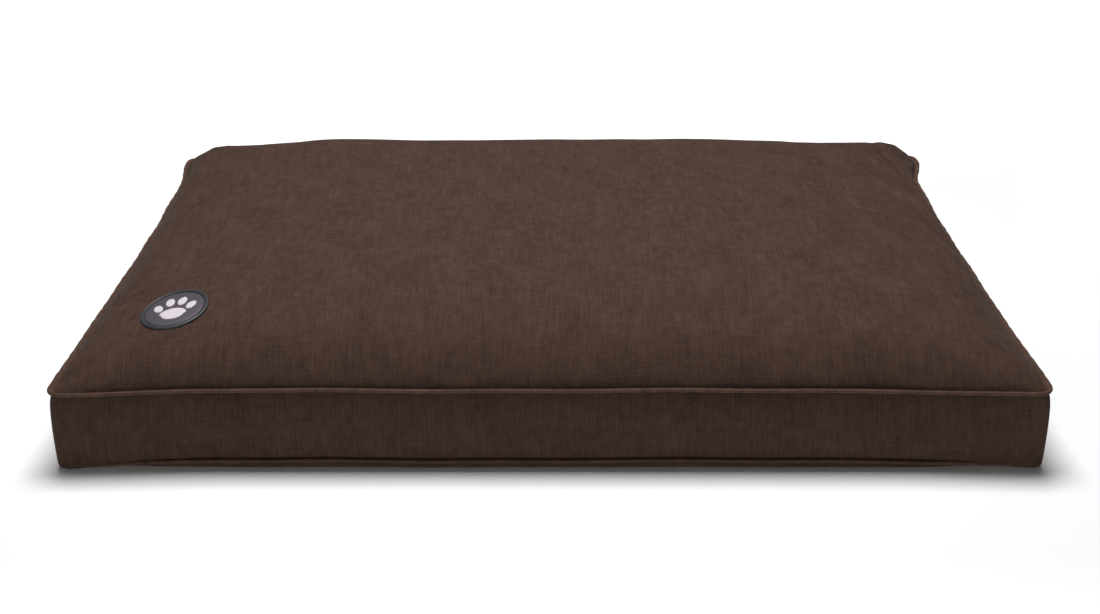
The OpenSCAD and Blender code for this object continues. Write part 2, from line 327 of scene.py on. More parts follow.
grid_index = np.arange(n_grid).reshape(ny + 1, nx + 1)
band_index = np.array([band_row(row) for row in range(band_rows + 1)])
top_faces = quads(grid_index)
base_faces = quads(n_grid + grid_index[::-1])
band_faces = quads(joined(band_index))


def new_mesh(name, points, faces, edges=()):
    mesh = bpy.data.meshes.new(name)
    mesh.from_pydata([tuple(map(float, p)) for p in points], list(edges), faces)
    mesh.polygons.foreach_set("use_smooth", [True] * len(mesh.polygons))
    mesh.update()
    return mesh


def new_piece(name, mesh):
    piece = bpy.data.objects.new(name, mesh)
    bpy.context.scene.collection.objects.link(piece)
    return piece


def settle(points, frames=24, cap=14 * MM):
    """Settles the cover by cloth simulation. The pad presses it out and holds its shape,
    the piping holds the seams, and spare cloth near the corners gathers into puckers."""
    cloth = new_piece("cloth", new_mesh("cloth", points, top_faces + base_faces + band_faces))
    cloth.shape_key_add(name="start")
    cut = cloth.shape_key_add(name="cut")
    normals = np.array([v.normal for v in cloth.data.vertices])
    x, y = points[:, 0], points[:, 1]
    near_seam = np.exp(-(np.minimum(*(cover_half - np.abs(points[:, :2])).T) / (50 * MM)) ** 2)
    spare = 1.5 * MM * gathers(x, y, 24 * MM) * corner_reach(x, y, 150 * MM) * near_seam
    cut.data.foreach_set("co", (points + normals * spare[:, None]).ravel())
    weight = np.full(len(points), 0.25)
    weight[:n_grid] = 0.12
    weight[n_grid:2 * n_grid] = 0.6
    weight[rim] = 0.85
    weight[n_grid + rim] = 0.95
    hold = cloth.vertex_groups.new(name="hold")
    for level in np.unique(weight):
        hold.add(np.flatnonzero(weight == level).tolist(), float(level), "REPLACE")
    cloth_modifier = cloth.modifiers.new("Cloth", "CLOTH")
    cs = cloth_modifier.settings
    cs.quality = 5
    cs.mass = 0.15
    cs.tension_stiffness = cs.compression_stiffness = 25
    cs.shear_stiffness = 8
    cs.bending_stiffness = 0.15
    cs.tension_damping = cs.compression_damping = cs.shear_damping = 8
    cs.use_pressure = True
    cs.uniform_pressure_force = 2.0
    cs.vertex_group_mass = "hold"
    cs.pin_stiffness = 0.6
    cs.rest_shape_key = cut
    cs.effector_weights.gravity = 0
    cloth_modifier.point_cache.frame_start = 1
    cloth_modifier.point_cache.frame_end = frames
    scene = bpy.context.scene
    for number in range(1, frames + 1):
        scene.frame_set(number)
    settled = cloth.evaluated_get(bpy.context.evaluated_depsgraph_get()).to_mesh()
    found = np.empty(len(points) * 3, np.float32)
    settled.vertices.foreach_get("co", found)
    scene.frame_set(1)
    bpy.data.objects.remove(cloth)
    move = found.reshape(-1, 3).astype(float) - points
    size = np.linalg.norm(move, axis=1)[:, None]
    return points + move * np.minimum(1, cap / np.maximum(size, 1e-9))


flat_back = cover.copy()
cover = settle(cover)
cover[:n_grid, 2] += fold_height(grid_x, grid_y) * ease(from_seam / (9 * MM))
# the base lies on the floor, and the zip keeps the back of the band straight
cover[:, 2] = np.maximum(cover[:, 2], floor_z)
for row in range(1, band_rows):
    k = band_row(row)
    cover[k] += (flat_back[k] - cover[k]) * on_zip[:, None]
top, base = cover[:n_grid], cover[n_grid:2 * n_grid]


# ---- Top panel ----
# One piece of brushed linen-look cloth, piece-dyed deep brown. It is cut flat, sewn to the
# band with the piping between, and drawn tight over the crowned pad.

cloth_t = 0.8 * MM


class Wire:
    """A shader socket that can stand in an expression. Without a socket it is a new tree."""

    def __init__(self, tree, socket=None):
        self.tree, self.socket = tree, socket

    def node(self, kind, settings={}, inputs={}, output=0):
        made = self.tree.nodes.new("ShaderNode" + kind)
        for name, value in settings.items():
            setattr(made, name, value)
        for key, value in inputs.items():
            if isinstance(value, Wire):
                self.tree.links.new(value.socket, made.inputs[key])
            else:
                made.inputs[key].default_value = value
        return Wire(self.tree, made.outputs[output] if made.outputs else None)

    def math(self, operation, *values):
        return self.node("Math", {"operation": operation}, dict(enumerate(values)))

    def __add__(self, other):
        return self.math("ADD", self, other)

    def __sub__(self, other):
        return self.math("SUBTRACT", self, other)

    def __rsub__(self, other):
        return self.math("SUBTRACT", other, self)

    def __mul__(self, other):
        return self.math("MULTIPLY", self, other)

    def __truediv__(self, other):
        return self.math("DIVIDE", self, other)

    __radd__, __rmul__ = __add__, __mul__


def stretched(place, scale):
    return place.node("VectorMath", {"operation": "MULTIPLY"}, {0: place, 1: (*scale, 1)})


def noise(place, scale, detail=2.0, roughness=0.5):
    """Noise about 0, roughly from -1 to 1. scale is in swells per metre along u and v."""
    grain = place.node("TexNoise", {}, {"Vector": stretched(place, scale), "Scale": 1.0,
                                        "Detail": detail, "Roughness": roughness})
    return (grain - 0.5) * 4


def specks(place, scale, amount):
    """Small round spots, rare where amount is near 0."""
    far = place.node("TexVoronoi", {}, {"Vector": stretched(place, (scale, scale)),
                                        "Scale": 1.0, "Randomness": 1.0})
    spot = far.math("LESS_THAN", far, 0.17)
    rare = place.node("TexNoise", {}, {"Vector": stretched(place, (scale / 3, scale / 3)),
                                       "Scale": 1.0, "Detail": 0.0})
    return spot * far.math("GREATER_THAN", rare, 1 - amount)


def toned(wire, colour, tone):
    """A colour made lighter or darker all through by a tone about 1."""
    return wire.node("VectorMath", {"operation": "SCALE"}, {0: colour, "Scale": tone})


def mixed(wire, share, first, second):
    return wire.node("Mix", {"data_type": "RGBA"}, {0: share, 6: first, 7: second}, output=2)


def bump(wire, height):
    """height is in millimetres."""
    return wire.node("Bump", {}, {"Height": height, "Distance": MM, "Strength": 1.0})


def surface(wire, varying, constant):
    """The principled shader, with its varying inputs linked and the rest set on it."""
    shader = wire.node("BsdfPrincipled", {}, {**constant, **varying})
    wire.node("OutputMaterial", {}, {0: shader})


def new_material(name):
    material = bpy.data.materials.new(name)
    material.use_nodes = True
    material.node_tree.nodes.clear()
    return material, Wire(material.node_tree)


def weave(place, pitch):
    """Height of a plain weave, from 0 to 1: warp and weft pass over each other in turn."""
    split = place.node("SeparateXYZ", {}, {0: place})
    u, v = split, Wire(place.tree, split.socket.node.outputs[1])
    k = math.pi / pitch
    over = (u * k).math("SINE", u * k) * (v * k).math("SINE", v * k)
    warp = (u * 2 * k).math("COSINE", u * 2 * k) * 0.25
    weft = (v * 2 * k).math("COSINE", v * 2 * k) * 0.25
    return over * 0.25 + (0.5 - warp - weft) * 0.5


def linen(name, painted_light_and_shade=1.0, turn=0):
    """The cover's cloth. u and v are metres along the weft and the warp. The tone after the name
    scales all its colour: above 1 it is painted light, below 1 it is painted shade.
    """
    material, wire = new_material(name)
    uv = wire.node("UVMap", {"uv_map": "cloth"})
    place = wire.node("Mapping", {}, {"Vector": uv, "Rotation": (0, 0, math.radians(turn))})
    clouds = noise(place, (26, 20), 3.0)
    patches = noise(place, (110, 75), 3.0, 0.6)
    warp_slubs = noise(place, (640, 26), 2.0)
    weft_slubs = noise(place, (30, 560), 2.0)
    fuzz = noise(place, (620, 620), 1.0)
    light = specks(place, 330, 0.36)
    dark = specks(place, 210, 0.33)
    tone = (1 + clouds * 0.14 + patches * 0.19 + warp_slubs * 0.21 + weft_slubs * 0.11
            + fuzz * 0.17 + light * 0.7 - dark * 0.35)
    brown = [c * painted_light_and_shade for c in (0.0616, 0.0365, 0.0280)]
    warm = [c * painted_light_and_shade for c in (0.0690, 0.0384, 0.0273)]
    blend = mixed(wire, patches * 0.25 + 0.5, (*brown, 1), (*warm, 1))
    height = (weave(place, 0.62 * MM) * 0.16 + warp_slubs * 0.045 + weft_slubs * 0.03
              + fuzz * 0.03 + patches * 0.10)
    surface(wire, {"Base Color": toned(wire, blend, tone), "Normal": bump(wire, height),
                   "Roughness": 0.9 + clouds * 0.03},
            {"Specular IOR Level": 0.12, "Sheen Weight": 0.04, "Sheen Roughness": 0.4,
             "Sheen Tint": (0.62, 0.5, 0.44, 1)})
    return material


def set_uv(piece, uv, shape):
    """Gives a piece made over a grid its flat pattern, as a map called cloth."""
    layer = piece.data.uv_layers.new(name="cloth")
    corners = np.ravel(quads(np.arange(shape[0] * shape[1]).reshape(shape)))
    layer.data.foreach_set("uv", uv.reshape(-1, 2)[corners].ravel())


def made_finer(piece):
    finer = piece.modifiers.new("finer", "SUBSURF")
    finer.levels = finer.render_levels = 1


def made_thick(piece, thickness):
    """Gives a sheet its thickness, inwards from its face side."""
    thick = piece.modifiers.new("thick", "SOLIDIFY")
    thick.thickness = thickness
    thick.offset = -1


def lay_cloth(name, points, uv, thickness, material, closed=False):
    """A piece of cloth over a grid of points, with its own thickness. uv is its flat
    pattern in metres. A closed one joins its last column to its first."""
    rows, columns = points.shape[:2]
    index = np.arange(rows * columns).reshape(rows, columns)
    if closed:
        index = joined(index)
    piece = new_piece(name, new_mesh(name, points.reshape(-1, 3), quads(index)))
    set_uv(piece, uv, index.shape)
    made_finer(piece)
    made_thick(piece, thickness)
    piece.data.materials.append(material)
    return piece


def pattern_uv(lines_u, lines_v, points):
    """Flat pattern of a panel: its length along the middle lines, from the middle."""
    middle_u = np.linalg.norm(np.diff(points[len(lines_v) // 2], axis=0), axis=1)
    middle_v = np.linalg.norm(np.diff(points[:, len(lines_u) // 2], axis=0), axis=1)
    u = np.concatenate([[0], np.cumsum(middle_u)])
    v = np.concatenate([[0], np.cumsum(middle_v)])
    return np.stack(np.meshgrid(u - u[-1] / 2, v - v[-1] / 2), axis=-1)


# Under the badge the cloth is held smooth, on a gently curved sheet fitted through it
badge_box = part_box("badge_patch")
badge_at = (np.array(badge_box[0]) + np.array(badge_box[1])) / 2
badge_r = (badge_box[1].x - badge_box[0].x) / 2
near_badge = np.hypot(top[:, 0] - badge_at[0], top[:, 1] - badge_at[1])


def fit_terms(x, y):
    x, y = x - badge_at[0], y - badge_at[1]
    return np.stack([1 + 0 * x, x, y, x * x, x * y, y * y], axis=-1)


under = near_badge < badge_r * 1.15
badge_fit = np.linalg.lstsq(fit_terms(top[under, 0], top[under, 1]), top[under, 2], rcond=None)[0]
flatten = ease((badge_r * 1.35 - near_badge) / (badge_r * 0.3))
top[:, 2] += (fit_terms(top[:, 0], top[:, 1]) @ badge_fit - top[:, 2]) * flatten

cover_linen = linen("cover_linen")
top_grid = top.reshape(ny + 1, nx + 1, 3)
top_panel = lay_cloth("top_panel_cloth", top_grid, pattern_uv(lines_x, lines_y, top_grid),
                      cloth_t, cover_linen)
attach(top_panel, "cushion")
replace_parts(top_panel, "top_panel")


# ---- Base panel ----
# The same cloth, flat on the floor, with a rounded rim that rises to the base seam.

base_grid = base.reshape(ny + 1, nx + 1, 3)[::-1]
base_panel = lay_cloth("base_panel_cloth", base_grid, pattern_uv(lines_x, lines_y, base_grid),
                       cloth_t, cover_linen)
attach(base_panel, "cushion")
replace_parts(base_panel, "base_panel")


# ---- Band ----
# A strip of the same cloth runs round the front, the sides and the back corners. Two
# narrower strips fill the back, one above the zip and one below it. Each end or edge that
# meets the zip is folded in to a hem.

# The band's cloth is a shade darker than the top's: painted shade on the upright band.
band_linen_painted_shade = linen("band_linen_painted_shade", 0.97)
hem_gap = 2 * cloth_t
mid_z = (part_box("zip_band_upper")[0].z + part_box("zip_band_lower")[1].z) / 2
slot_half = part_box("zip_band_upper")[0].z - mid_z
all_rows = np.array([cover[band_row(row)] for row in range(band_rows + 1)])


def band_at(k):
    """Columns of the band at places k round the seam, which may lie between points."""
    low = np.floor(k).astype(int)
    share = (k - low)[None, :, None]
    return all_rows[:, low % n_rim] * (1 - share) + all_rows[:, (low + 1) % n_rim] * share


back_k = np.arange(nx + ny, 2 * nx + ny + 1)
back_x = all_rows[band_rows // 2, back_k % n_rim, 0]
zip_start = np.interp(-zip_half, back_x[::-1], back_k[::-1])    # the zip's end at -X
zip_end = np.interp(zip_half, back_x[::-1], back_k[::-1])


def run_length(points):
    """Distance along a row of points, from its first."""
    return np.concatenate([[0], np.cumsum(np.linalg.norm(np.diff(points, axis=0), axis=1))])


def column_uv(points):
    """Flat pattern of a strip: u along its middle row, v up its first column."""
    return np.stack(np.meshgrid(run_length(points[len(points) // 2]),
                                run_length(points[:, 0])), axis=-1)


def hem(edge, inwards, back, length):
    """Three more lines of points, which fold an edge in and lead it back behind itself."""
    return [edge + inwards * hem_gap * 0.5 + back * -0.4 * MM, edge + inwards * hem_gap,
            edge + inwards * hem_gap + back * length]


inside_k = np.arange(math.ceil(zip_start + 0.01), math.floor(zip_end + n_rim) + 1)
wrap = band_at(np.concatenate([[zip_start], inside_k, [zip_end + n_rim]]))
inwards = np.array([0, -1, 0])
for end, away in ((0, np.array([-1, 0, 0])), (-1, np.array([1, 0, 0]))):
    folded = [line[:, None] for line in hem(wrap[:, end], inwards, away, 10 * MM)]
    wrap = np.concatenate(folded[::-1] + [wrap] if end == 0 else [wrap] + folded, axis=1)
wrap_band = lay_cloth("wrap_band_cloth", wrap, column_uv(wrap), cloth_t, band_linen_painted_shade)
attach(wrap_band, "cushion")
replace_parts(wrap_band, "wrap_band")

zip_k = np.linspace(zip_end, zip_start, 140)
zip_wall = band_at(zip_k)


def wall_at(height):
    """The row of the back wall at a height, or at one height for each of its columns,
    between the two ends of the zip."""
    row = [[np.interp(h, column[:, 2], column[:, axis]) for axis in (0, 1)] + [h]
           for h, column in zip(np.broadcast_to(height, len(zip_k)), zip_wall.transpose(1, 0, 2))]
    return np.array(row)


def zip_strip(name, seam_row, edge_z, up):
    """A strip from a seam to the slot. up is 1 for the strip above the zip."""
    rows = [wall_at(edge_z + (zip_wall[seam_row, :, 2] - edge_z) * t) for t in np.linspace(0, 1, 9)]
    folded = hem(rows[0], inwards, np.array([0, 0, up]), 10 * MM)
    points = np.array(folded[::-1] + rows)
    points = points if up > 0 else points[::-1]
    strip = lay_cloth(name, points, column_uv(points), cloth_t, band_linen_painted_shade)
    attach(strip, "cushion")
    return strip


upper_strip = zip_strip("zip_band_upper_cloth", -1, mid_z + slot_half, 1)
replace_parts(upper_strip, "zip_band_upper")
lower_strip = zip_strip("zip_band_lower_cloth", 0, mid_z - slot_half, -1)
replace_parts(lower_strip, "zip_band_lower")


# ---- Piping ----
# A soft cotton cord wrapped in a bias strip of the cover's cloth. The strip's two edges lie
# together as a tail, which is sewn between the panel and the band all the way round.

piping_r = piping_d * 0.41
piping_lift = 0.9 * MM                  # the top cord rides up against the panel
piping_in = groove + 0.94 * piping_r    # from the seam to the middle of the cord
cord_r = 1.2 * MM
tail = 10 * MM
tail_start = 1.4 * MM                   # how far from the seam the two edges come together
# The strip is the cover's cloth made 1.4 times lighter: painted highlight for the light that the
# round cord catches from above.
piping_linen_painted_highlight = linen("piping_linen_painted_highlight", 1.4, turn=45)


def piping_ring(ring):
    """Places about 5 mm apart round a seam, with the level direction outwards at each."""
    length = run_length(np.concatenate([ring, ring[:1]]))
    at = np.linspace(0, length[-1], round(length[-1] / (5.4 * MM)), endpoint=False)
    even = np.stack([np.interp(at, length, np.append(ring[:, axis], ring[0, axis]))
                     for axis in range(3)], axis=1)
    return even, outwards(even), np.append(at, length[-1])


def piping_cover(name, ring, up, lift=0):
    """up is 1 where the tail hangs down from the top seam, and -1 where it stands up from
    the base seam."""
    even, out, at = piping_ring(ring)
    angles = np.radians(np.linspace(-160, 160, 13))
    ripple = 0.10 * MM * (np.sin(at[:-1] * 290) + np.sin(at[:-1] * 471 + 1))
    section = [(-cloth_t, -tail), (-cloth_t, -tail_start)]
    section += [(piping_in + piping_r * math.cos(a), piping_r * math.sin(a) + lift)
                for a in angles]
    section += [(-3 * cloth_t, -tail_start), (-3 * cloth_t, -tail)]
    rows = []
    for number, (across, rise) in enumerate(section):
        round_part = 2 <= number < len(section) - 2
        swell = 1 + round_part * ripple / piping_r
        rows.append(even + out * (across * swell)[:, None]
                    + np.array([0, 0, 1]) * (rise * up * swell)[:, None])
    points = np.array(rows[::up])
    width = run_length(np.array(section))[::up] * up
    uv = np.stack(np.meshgrid(at, width), axis=-1)
    cover_strip = lay_cloth(name, points, uv, cloth_t * 0.9, piping_linen_painted_highlight, closed=True)
    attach(cover_strip, "cushion")
    return cover_strip


def cotton():
    """Undyed soft cotton, twisted from fine yarn. u runs along the cord, v round it."""
    material, wire = new_material("cord_cotton")
    place = wire.node("UVMap", {"uv_map": "cloth"})
    yarn = noise(place, (160, 1400), 2.0)
    fluff = noise(place, (800, 800), 1.0)
    surface(wire, {"Base Color": toned(wire, (0.74, 0.70, 0.62), 1 + yarn * 0.06 + fluff * 0.04),
                   "Normal": bump(wire, yarn * 0.08 + fluff * 0.04),
                   "Roughness": 0.92 + fluff * 0.03}, {"Specular IOR Level": 0.2})
    return material


cord_cotton = cotton()


def piping_cord(name, ring, lift=0):
    """Three strands laid up with a twist, which give a section with three lobes."""
    even, out, at = piping_ring(ring)
    rows = []
    angles = np.linspace(0, 2 * math.pi, 13)
    for a in angles[:-1]:
        r = cord_r * (0.93 + 0.07 * np.cos(3 * (a - at[:-1] * 210)))
        rows.append(even + out * (piping_in + r * math.cos(a))[:, None]
                    + np.array([0, 0, 1]) * (r * math.sin(a) + lift)[:, None])
    points = np.array(rows)
    count = len(even)
    index = np.arange(points.shape[0] * count).reshape(-1, count)
    index = joined(np.concatenate([index, index[:1]]))
    cord = new_piece(name, new_mesh(name, points.reshape(-1, 3), quads(index)))
    set_uv(cord, np.stack(np.meshgrid(at, angles * cord_r), axis=-1), index.shape)
    cord.data.materials.append(cord_cotton)
    made_finer(cord)
    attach(cord, "cushion")
    return cord


top_ring, base_ring = all_rows[-1], all_rows[0]
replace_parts(piping_cover("top_piping_strip", top_ring, 1, piping_lift), "top_piping_cover")
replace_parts(piping_cover("base_piping_strip", base_ring, -1), "base_piping_cover")
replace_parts(piping_cord("top_piping_cotton", top_ring, piping_lift), "top_piping_cord")
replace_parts(piping_cord("base_piping_cotton", base_ring), "base_piping_cord")


# ---- Zip tapes ----
# Two woven polyester tapes, dyed to match the cloth. Each is sewn flat behind the hem of
# one strip, and carries its coil along the edge that faces the other.


def tape_weave(name, brown):
    """Fine herringbone twill. u runs along the tape, v across it."""
    material, wire = new_material(name)
    place = wire.node("UVMap", {"uv_map": "cloth"})
    split = wire.node("SeparateXYZ", {}, {0: place})
    along, across = split, Wire(wire.tree, split.socket.node.outputs[1])
    chevron = (across / (2.4 * MM)).math("PINGPONG", across / (2.4 * MM), 1.0) * (2.4 * MM)
    ribs = along * (2 * math.pi / (0.7 * MM)) + chevron * (2 * math.pi / (0.7 * MM))
    rib = ribs.math("SINE", ribs)
    grain = noise(place, (1500, 1500), 1.0)
    surface(wire, {"Base Color": toned(wire, brown, 1 + rib * 0.10 + grain * 0.06),
                   "Normal": bump(wire, rib * 0.05 + grain * 0.02),
                   "Roughness": 0.72 + grain * 0.04}, {"Specular IOR Level": 0.35})
    return material


twill = tape_weave("zip_twill", (0.058, 0.036, 0.028))


def zip_tape(node):
    low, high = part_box(node)
    x, z = np.meshgrid(np.linspace(high.x, low.x, 160), np.linspace(low.z, high.z, 7))
    points = np.stack([x, np.full_like(x, high.y), z], axis=-1)
    tape = lay_cloth(node + "_twill", points, column_uv(points), high.y - low.y, twill)
    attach(tape, "cushion")
    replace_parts(tape, node)


zip_tape("zip_tape_upper")
zip_tape("zip_tape_lower")


# ---- Zip coils ----
# A spiral of stiff nylon wire on each tape, pressed to an oval. The turns of the upper coil
# lie half a turn from those of the lower one, as they do when the zip is shut.


def new_tree(name, inputs):
    """A geometry tree with named inputs, and the nodes at its two ends."""
    tree = bpy.data.node_groups.new(name, "GeometryNodeTree")
    tree.interface.new_socket("Geometry", in_out="INPUT", socket_type="NodeSocketGeometry")
    for label, kind in inputs.items():
        tree.interface.new_socket(label, in_out="INPUT", socket_type="NodeSocket" + kind)
    tree.interface.new_socket("Geometry", in_out="OUTPUT", socket_type="NodeSocketGeometry")
    return tree, tree.nodes.new("NodeGroupInput"), tree.nodes.new("NodeGroupOutput")


def tree_node(tree, kind, settings={}, inputs={}):
    """A node with its settings, then the values or links of its sockets."""
    made = tree.nodes.new(kind)
    for name, value in settings.items():
        setattr(made, name, value)
    for key, value in inputs.items():
        if isinstance(value, bpy.types.NodeSocket):
            tree.links.new(value, made.inputs[key])
        else:
            made.inputs[key].default_value = value
    return made


def finish_tree(tree, start, end, geometry):
    """Realizes the instances and gives them the material."""
    real = tree_node(tree, "GeometryNodeRealizeInstances", {}, {0: geometry})
    painted = tree_node(tree, "GeometryNodeSetMaterial", {},
                        {"Geometry": real.outputs[0], "Material": start.outputs["Material"]})
    tree.links.new(painted.outputs[0], end.inputs[0])


def grown(piece, tree, values):
    """Runs a tree on a piece and keeps the result as the piece's own plain mesh."""
    modifier = piece.modifiers.new(tree.name, "NODES")
    modifier.node_group = tree
    for item in tree.interface.items_tree:
        if item.in_out == "INPUT" and item.name in values:
            modifier[item.identifier] = values[item.name]
    bpy.context.view_layer.update()
    evaluated = piece.evaluated_get(bpy.context.evaluated_depsgraph_get())
    mesh = bpy.data.meshes.new_from_object(evaluated)
    piece.modifiers.remove(modifier)
    piece.data = mesh
    mesh.polygons.foreach_set("use_smooth", [True] * len(mesh.polygons))
    return piece


def coil_tree():
    """A spiral along X of a given length, with its section an oval."""
    tree, start, end = new_tree("zip_coil", {"Length": "Float", "Turns": "Float",
                                             "Width": "Float", "Depth": "Float",
                                             "Wire": "Float", "Material": "Material"})
    spiral = tree_node(tree, "GeometryNodeCurveSpiral", {}, {
        "Resolution": 8, "Rotations": start.outputs["Turns"], "Start Radius": 0.5,
        "End Radius": 0.5, "Height": start.outputs["Length"]})
    oval = tree_node(tree, "ShaderNodeCombineXYZ", {}, {
        0: start.outputs["Width"], 1: start.outputs["Depth"], 2: 1.0})
    pressed = tree_node(tree, "GeometryNodeTransform", {}, {
        "Geometry": spiral.outputs[0], "Scale": oval.outputs[0]})
    lying = tree_node(tree, "GeometryNodeTransform", {}, {
        "Geometry": pressed.outputs[0], "Rotation": (0, math.pi / 2, 0)})
    section = tree_node(tree, "GeometryNodeCurvePrimitiveCircle", {}, {
        "Resolution": 4, "Radius": start.outputs["Wire"]})
    wire = tree_node(tree, "GeometryNodeCurveToMesh", {}, {
        "Curve": lying.outputs[0], "Profile Curve": section.outputs[0], "Fill Caps": True})
    finish_tree(tree, start, end, wire.outputs[0])
    return tree


def mottle(place, scale, detail=2.0):
    """Noise about 0, roughly from -1 to 1, with scale swells per metre all ways."""
    return (place.node("TexNoise", {}, {"Vector": place, "Scale": scale, "Detail": detail}) - 0.5) * 2


def nylon(name, brown):
    material, wire = new_material(name)
    clouds = mottle(wire.node("TexCoord", output="Object"), 260.0)
    surface(wire, {"Base Color": toned(wire, brown, 1 + clouds * 0.15),
                   "Roughness": 0.34 + clouds * 0.1}, {"Specular IOR Level": 0.5})
    return material


coil_nylon = nylon("zip_nylon", (0.042, 0.028, 0.023))
coil_maker = coil_tree()
wire_r = 0.33 * MM
coil_pitch = 1.3 * MM


def zip_coil(node, shift):
    low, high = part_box(node)
    coil = new_piece(node + "_spiral", new_mesh(node + "_spiral", [], []))
    grown(coil, coil_maker, {
        "Length": high.x - low.x - 2 * MM, "Turns": (high.x - low.x - 2 * MM) / coil_pitch,
        "Width": high.z - low.z - 2 * wire_r, "Depth": high.y - low.y - 2 * wire_r,
        "Wire": wire_r, "Material": coil_nylon})
    middle = (low + high) / 2
    for vertex in coil.data.vertices:
        vertex.co += Vector((low.x + 1 * MM + shift, middle.y, middle.z))
    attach(coil, "cushion")
    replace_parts(coil, node)


zip_coil("zip_coil_upper", 0)
zip_coil("zip_coil_lower", coil_pitch / 2)


# ---- Zip slider, pull and stops ----
# Die-cast zinc with a dark gunmetal finish. The slider runs on both coils between the pressed
# metal stops, and the pull swings on the bar under the slider's bail.


def gunmetal():
    """Dark plating, rubbed a little brighter in places, with fine scratches."""
    material, wire = new_material("gunmetal")
    place = wire.node("TexCoord", output="Object")
    clouds = mottle(place, 190.0, 3.0)
    long_way = wire.node("VectorMath", {"operation": "MULTIPLY"}, {0: place, 1: (140, 2600, 2600)})
    scratch = mottle(long_way, 1.0)
    surface(wire, {"Base Color": toned(wire, (0.20, 0.19, 0.185), 1 + clouds * 0.25 + scratch * 0.1),
                   "Roughness": 0.36 + clouds * 0.12 + scratch * 0.06,
                   "Normal": bump(wire, scratch * 0.006 + clouds * 0.01)}, {"Metallic": 1.0})
    return material


zip_gunmetal = gunmetal()


def cast_copy(node, body, name, round_off):
    """The CAD node's own shape with its edges rounded off."""
    piece = new_piece(name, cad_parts[node].data.copy())
    shell = bmesh.new()
    shell.from_mesh(piece.data)
    bmesh.ops.remove_doubles(shell, verts=shell.verts, dist=1e-6)
    bmesh.ops.dissolve_limit(shell, angle_limit=math.radians(1), verts=shell.verts,
                             edges=shell.edges)
    shell.to_mesh(piece.data)
    shell.free()
    piece.data.materials.clear()
    piece.data.materials.append(zip_gunmetal)
    piece.data.polygons.foreach_set("use_smooth", [True] * len(piece.data.polygons))
    piece.data.set_sharp_from_angle(angle=math.radians(35))
    bevel = piece.modifiers.new("edges", "BEVEL")
    bevel.width = round_off
    bevel.segments = 2
    bevel.angle_limit = math.radians(40)
    bevel.harden_normals = True
    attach(piece, body)
    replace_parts(piece, node)
    return piece


cast_copy("zip_slider", "zip_slider", "slider_cast", 0.14 * MM)
cast_copy("zip_pull", "zip_pull", "pull_cast", 0.14 * MM)
cast_copy("zip_top_stops", "cushion", "top_stops_pressed", 0.15 * MM)
cast_copy("zip_bottom_stop", "cushion", "bottom_stop_pressed", 0.15 * MM)


# ---- Topstitching ----
# Lockstitch in polyester thread a shade lighter than the cloth. One row holds each strip's
# hem to its zip tape, and a short row closes the band at each end of the zip.


def stitch_tree():
    """Short rounded stitches, evenly spaced along the edges of a mesh."""
    tree, start, end = new_tree("stitches", {"Spacing": "Float", "Length": "Float",
                                             "Thread": "Float", "Material": "Material"})
    line = tree_node(tree, "GeometryNodeMeshToCurve", {}, {0: start.outputs["Geometry"]})
    places = tree_node(tree, "GeometryNodeResampleCurve", {"mode": "LENGTH"}, {
        "Curve": line.outputs[0], "Length": start.outputs["Spacing"]})
    ball = tree_node(tree, "GeometryNodeMeshUVSphere", {}, {
        "Segments": 6, "Rings": 6, "Radius": 0.5})
    lying = tree_node(tree, "GeometryNodeTransform", {}, {
        "Geometry": ball.outputs[0], "Rotation": (0, math.pi / 2, 0)})
    size = tree_node(tree, "ShaderNodeCombineXYZ", {}, {
        0: start.outputs["Length"], 1: start.outputs["Thread"], 2: start.outputs["Thread"]})
    stitch = tree_node(tree, "GeometryNodeTransform", {}, {
        "Geometry": lying.outputs[0], "Scale": size.outputs[0]})
    way = tree_node(tree, "GeometryNodeInputTangent")
    turn = tree_node(tree, "FunctionNodeAlignRotationToVector", {"axis": "X"}, {
        "Vector": way.outputs[0]})
    placed = tree_node(tree, "GeometryNodeInstanceOnPoints", {}, {
        "Points": places.outputs[0], "Instance": stitch.outputs[0],
        "Rotation": turn.outputs[0]})
    finish_tree(tree, start, end, placed.outputs[0])
    return tree


def thread(name, colour):
    material, wire = new_material(name)
    place = wire.node("TexCoord", output="Object")
    ply = mottle(place, 1500.0)
    surface(wire, {"Base Color": toned(wire, colour, 1 + ply * 0.18),
                   "Normal": bump(wire, ply * 0.03), "Roughness": 0.6 + ply * 0.08},
            {"Specular IOR Level": 0.4})
    return material


stitch_maker = stitch_tree()
brown_thread = thread("brown_thread", (0.095, 0.060, 0.046))


def sewn(name, paths, spacing, length, thickness, material):
    """Stitches along open paths of points."""
    points, edges = [], []
    for path in paths:
        edges += [(len(points) + k, len(points) + k + 1) for k in range(len(path) - 1)]
        points += list(path)
    row = new_piece(name, new_mesh(name, points, [], edges))
    return grown(row, stitch_maker, {"Spacing": spacing, "Length": length,
                                     "Thread": thickness, "Material": material})


hem_stitch = 6 * MM             # from the edge of the slot to the row of stitches
end_columns = [np.array([column[:, axis] for axis in range(3)]).T
               for column in (band_at(np.array([zip_start - 1.0]))[2:-2, 0],
                              band_at(np.array([zip_end + 1.0]))[2:-2, 0])]
stitch_rows = [wall_at(mid_z + side * (slot_half + hem_stitch))[1:-1] + (0, 0.35 * MM, 0)
               for side in (1, -1)]
stitch_rows += [column + (0, 0.15 * MM, 0) for column in end_columns]
topstitching = sewn("topstitching", stitch_rows, 3.2 * MM, 2.5 * MM, 0.55 * MM, brown_thread)
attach(topstitching, "cushion")


# ---- Badge ----
# A round moulded rubber badge near the front left corner: a slate base with a raised rim and
# a groove inside it, a plum-grey field, and a raised off-white paw print. It is stitched to
# the top panel through the groove.

